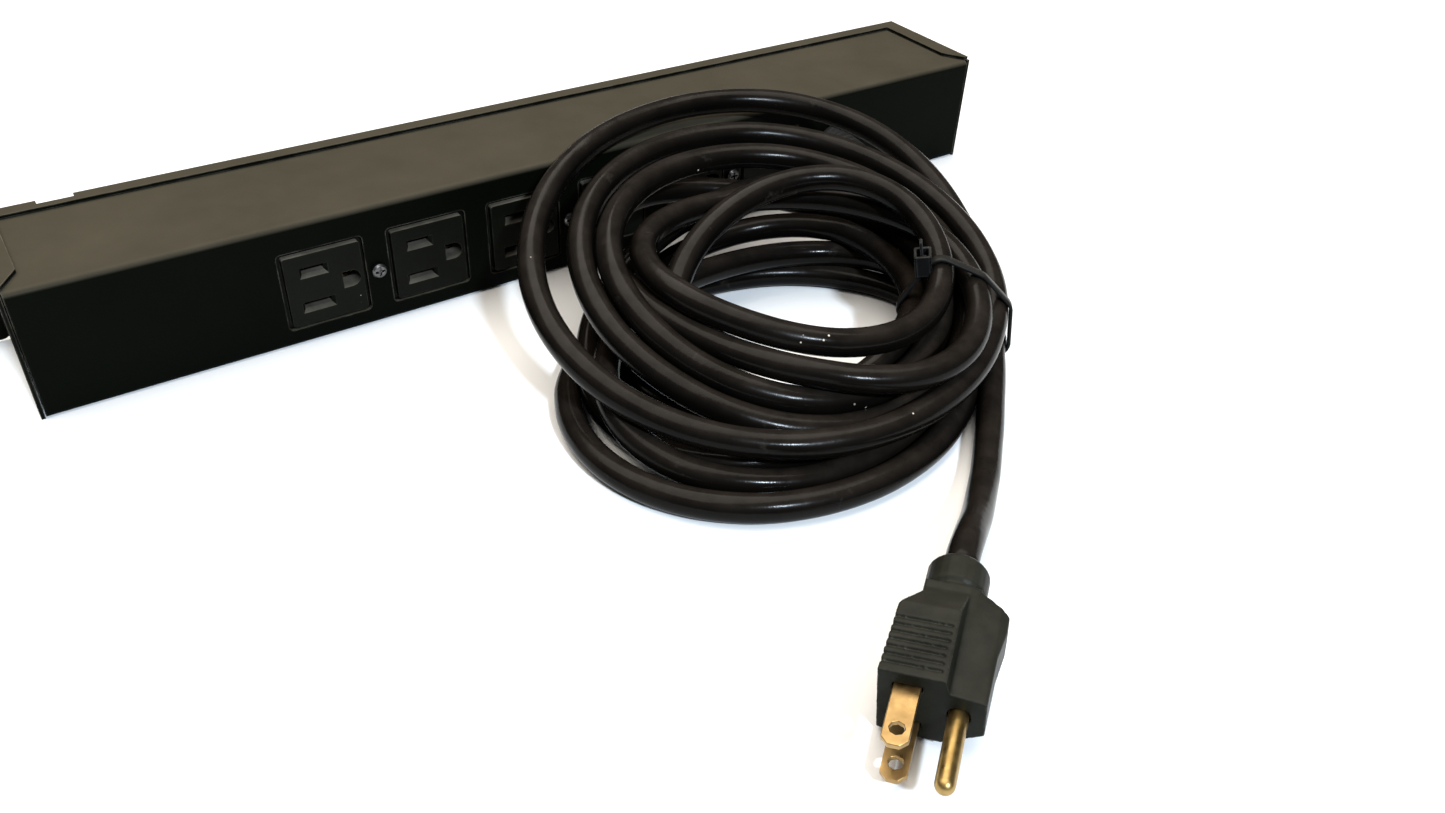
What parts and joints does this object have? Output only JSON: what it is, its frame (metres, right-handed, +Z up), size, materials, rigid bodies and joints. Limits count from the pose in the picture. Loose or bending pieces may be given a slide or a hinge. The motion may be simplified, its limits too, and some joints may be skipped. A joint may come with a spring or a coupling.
{
  "type": "power strip",
  "caption": "Black metal power strip with grounded outlets along its front, a coiled mains cord held by a cable tie, and a grounded plug.",
  "frame": {"origin": "middle of the housing's underside, on the surface that it rests on", "axes": "+X along the housing to the right seen from the front, +Y from the outlets to the back plate, +Z up"},
  "size_m": [0.406, 0.3052, 0.055],
  "materials": {
    "shell_paint": "satin black-brown paint",
    "tray_paint": "satin black-brown paint",
    "receptacle_face": "moulded black",
    "receptacle_back": "moulded black",
    "contact_brass": "stamped",
    "screw_steel": "zinc plated",
    "strain_relief": "moulded",
    "cord_jacket": "smooth, slightly glossy",
    "tie_nylon": "moulded",
    "plug_moulding": "satin moulded",
    "plug_brass": "worn, bright",
    "live_wire": "smooth",
    "neutral_wire": "smooth",
    "ground_wire": "smooth"
  },
  "bodies": {
    "root": {"front_shell": "shell_paint", "back_tray": "tray_paint", "strain_relief": "strain_relief", "cord_lead": "cord_jacket", "cord_coil": "cord_jacket", "cord_tail": "cord_jacket", "cable_tie": "tie_nylon", "plug_body": "plug_moulding", "plug_live_blade": "plug_brass", "plug_neutral_blade": "plug_brass", "plug_ground_pin": "plug_brass", "live_lead": "live_wire", "neutral_lead": "neutral_wire", "ground_lead": "ground_wire", "receptacle_front_1": "receptacle_face", "receptacle_back_1": "receptacle_back", "live_contact_1": "contact_brass", "neutral_contact_1": "contact_brass", "ground_contact_1": "contact_brass", "receptacle_screw_1": "screw_steel", "receptacle_front_2": "receptacle_face", "receptacle_back_2": "receptacle_back", "live_contact_2": "contact_brass", "neutral_contact_2": "contact_brass", "ground_contact_2": "contact_brass", "receptacle_screw_2": "screw_steel", "receptacle_front_3": "receptacle_face", "receptacle_back_3": "receptacle_back", "live_contact_3": "contact_brass", "neutral_contact_3": "contact_brass", "ground_contact_3": "contact_brass", "receptacle_screw_3": "screw_steel", "cover_screw_1": "screw_steel", "cover_screw_2": "screw_steel", "cover_screw_3": "screw_steel", "cover_screw_4": "screw_steel"}
  },
  "joints": []
}
